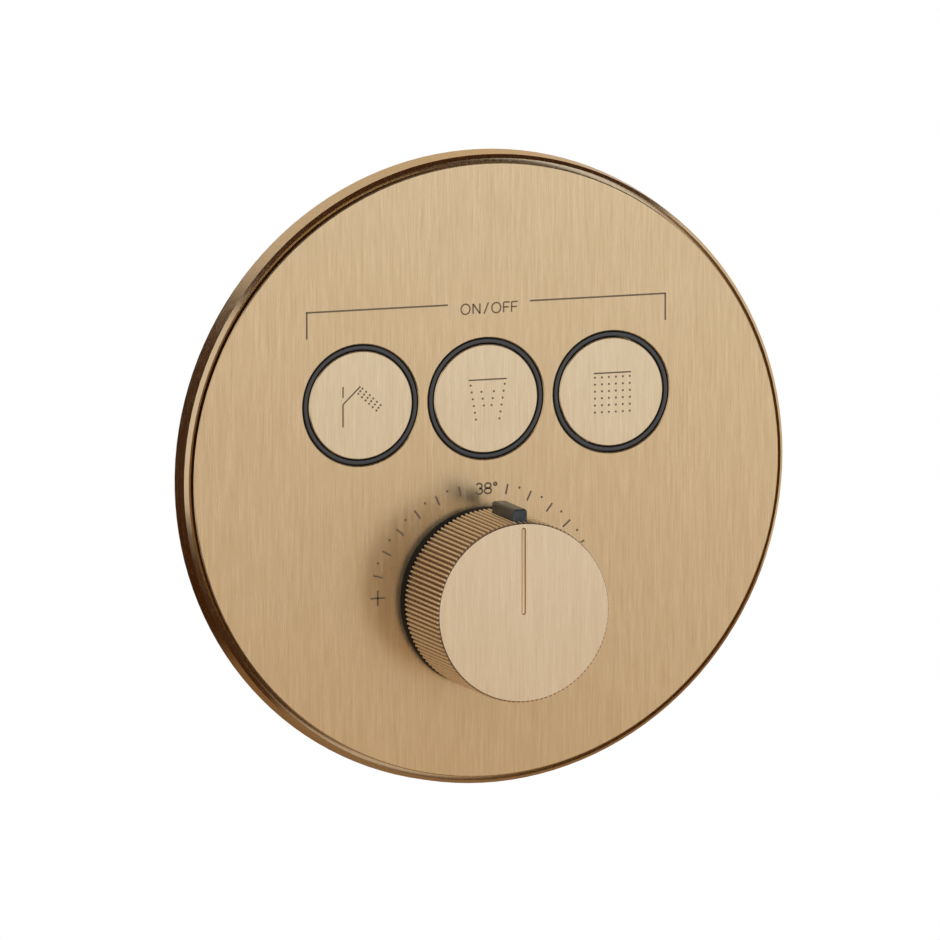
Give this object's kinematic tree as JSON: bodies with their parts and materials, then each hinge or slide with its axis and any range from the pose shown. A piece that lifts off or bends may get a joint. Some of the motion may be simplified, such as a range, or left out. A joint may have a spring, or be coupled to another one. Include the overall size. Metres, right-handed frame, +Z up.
{
  "type": "shower mixer",
  "caption": "Concealed thermostatic shower mixer: round bronze wall plate with push buttons above a knurled temperature knob, on a brass valve body with threaded inlets and outlets.",
  "frame": {"origin": "centre of the round plate, on the face of the wall", "axes": "+X right and +Z up on the wall as seen from the room, +Y into the wall"},
  "size_m": [0.18, 0.1025, 0.18],
  "materials": {
    "bronze": "fine vertical brushing",
    "dark_ring": "satin",
    "black_plastic": "gloss",
    "safety_plastic": "gloss",
    "carrier_plastic": "moulded",
    "cartridge_plastic": "moulded",
    "brass": "cast and machined",
    "copper": "drawn",
    "rubber": "matt",
    "steel": "bright",
    "zinc_steel": "zinc plated"
  },
  "bodies": {
    "mixer": {"rim_ring": "bronze", "face_plate": "bronze", "button_bezel_left": "dark_ring", "button_bezel_middle": "dark_ring", "button_bezel_right": "dark_ring", "knob_base_ring": "black_plastic", "plate_carrier": "carrier_plastic", "snap_studs": "carrier_plastic", "thermo_housing": "cartridge_plastic", "stop_ring": "cartridge_plastic", "valve_cartridge_left": "cartridge_plastic", "valve_cartridge_middle": "cartridge_plastic", "valve_cartridge_right": "cartridge_plastic", "check_valve_hot": "cartridge_plastic", "check_valve_cold": "cartridge_plastic", "valve_body": "brass", "thermo_nut": "brass", "inlet_union_hot": "brass", "inlet_union_cold": "brass", "cartridge_nut_left": "brass", "cartridge_nut_middle": "brass", "cartridge_nut_right": "brass", "outlet_union_left": "brass", "outlet_union_middle": "brass", "outlet_union_right": "brass", "wall_gasket": "rubber", "cartridge_seals": "rubber", "thermo_seals": "rubber", "port_washers": "rubber", "carrier_screws": "steel", "return_spring": "steel", "bracket_screws": "steel", "strainer_hot": "steel", "strainer_cold": "steel", "poppet_spring_left": "steel", "poppet_spring_middle": "steel", "poppet_spring_right": "steel", "wall_bracket": "zinc_steel"},
    "knob": {"knob_shell": "bronze", "knob_hub": "carrier_plastic", "knob_grub_screw": "steel", "thermo_spindle": "brass", "safety_spring": "steel"},
    "safety_button": {"safety_button": "safety_plastic"},
    "regulator": {"regulating_nut": "brass", "wax_element": "copper", "mixing_shuttle": "cartridge_plastic"},
    "button_left": {"button_cap_left": "bronze", "push_rod_left": "brass", "valve_poppet_left": "rubber"},
    "button_middle": {"button_cap_middle": "bronze", "push_rod_middle": "brass", "valve_poppet_middle": "rubber"},
    "button_right": {"button_cap_right": "bronze", "push_rod_right": "brass", "valve_poppet_right": "rubber"}
  },
  "joints": [
    {"name": "knob_turn", "type": "hinge", "parent": "mixer", "child": "knob", "pos_m": [0, 0, -0.0361], "axis": [0, -1, 0], "range_deg": [-90, 90]},
    {"name": "safety_press", "type": "slide", "parent": "knob", "child": "safety_button", "axis": [0, 0, -1], "range_m": [0, 0.002], "stiffness_N_per_m": 800, "springref_m": -0.002, "deforming": ["safety_spring"]},
    {"name": "regulator_travel", "type": "slide", "parent": "mixer", "child": "regulator", "axis": [0, 1, 0], "range_m": [-0.00105, 0.00105], "deforming": ["return_spring"]},
    {"name": "press_left", "type": "slide", "parent": "mixer", "child": "button_left", "axis": [0, 1, 0], "range_m": [0, 0.004], "stiffness_N_per_m": 1200, "springref_m": -0.004, "deforming": ["poppet_spring_left"]},
    {"name": "press_middle", "type": "slide", "parent": "mixer", "child": "button_middle", "axis": [0, 1, 0], "range_m": [0, 0.004], "stiffness_N_per_m": 1200, "springref_m": -0.004, "deforming": ["poppet_spring_middle"]},
    {"name": "press_right", "type": "slide", "parent": "mixer", "child": "button_right", "axis": [0, 1, 0], "range_m": [0, 0.004], "stiffness_N_per_m": 1200, "springref_m": -0.004, "deforming": ["poppet_spring_right"]}
  ],
  "couplings": [
    {"joint": "regulator_travel", "follows": "knob_turn", "m_per_rad": 0.00063662}
  ]
}
